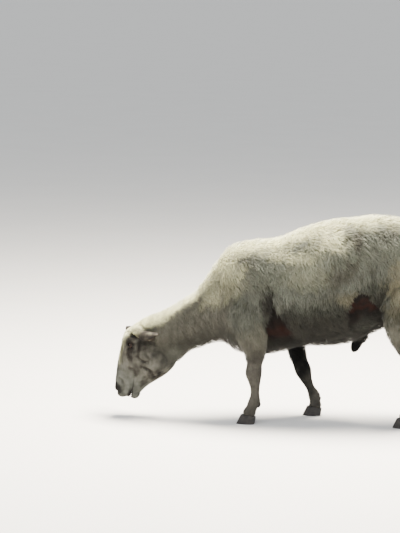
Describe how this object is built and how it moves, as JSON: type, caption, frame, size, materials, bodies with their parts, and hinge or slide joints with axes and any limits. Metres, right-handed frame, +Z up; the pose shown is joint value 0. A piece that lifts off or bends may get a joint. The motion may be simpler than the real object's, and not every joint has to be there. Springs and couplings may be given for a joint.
{
  "type": "sheep model",
  "caption": "Life-size still model of a heavy meat sheep with a short fleece, a bare face and bare lower legs, grazing with its head lowered, in mid-step on cloven hooves",
  "frame": {"origin": "on the ground under the middle of the bounding box", "axes": "+X runs from the head to the tail, +Y is the animal's right side, +Z is up"},
  "size_m": [1.3523, 0.386, 0.8362],
  "materials": {
    "fleece": "matte cream and grey wool",
    "short_hair": "short grey-brown hair over skin",
    "hoof_horn": "dark worn horn with a low sheen",
    "eye": "wet and glossy"
  },
  "bodies": {
    "root": {"head": "short_hair", "ear_left": "short_hair", "ear_right": "short_hair", "eye_left": "eye", "eye_right": "eye", "neck": "fleece", "torso": "fleece", "tail": "fleece", "fore_leg_left_upper": "fleece", "fore_leg_left_lower": "short_hair", "fore_hoof_left": "hoof_horn", "fore_leg_right_upper": "fleece", "fore_leg_right_lower": "short_hair", "fore_hoof_right": "hoof_horn", "hind_leg_left_upper": "fleece", "hind_leg_left_lower": "short_hair", "hind_hoof_left": "hoof_horn", "hind_leg_right_upper": "fleece", "hind_leg_right_lower": "short_hair", "hind_hoof_right": "hoof_horn"}
  },
  "joints": []
}
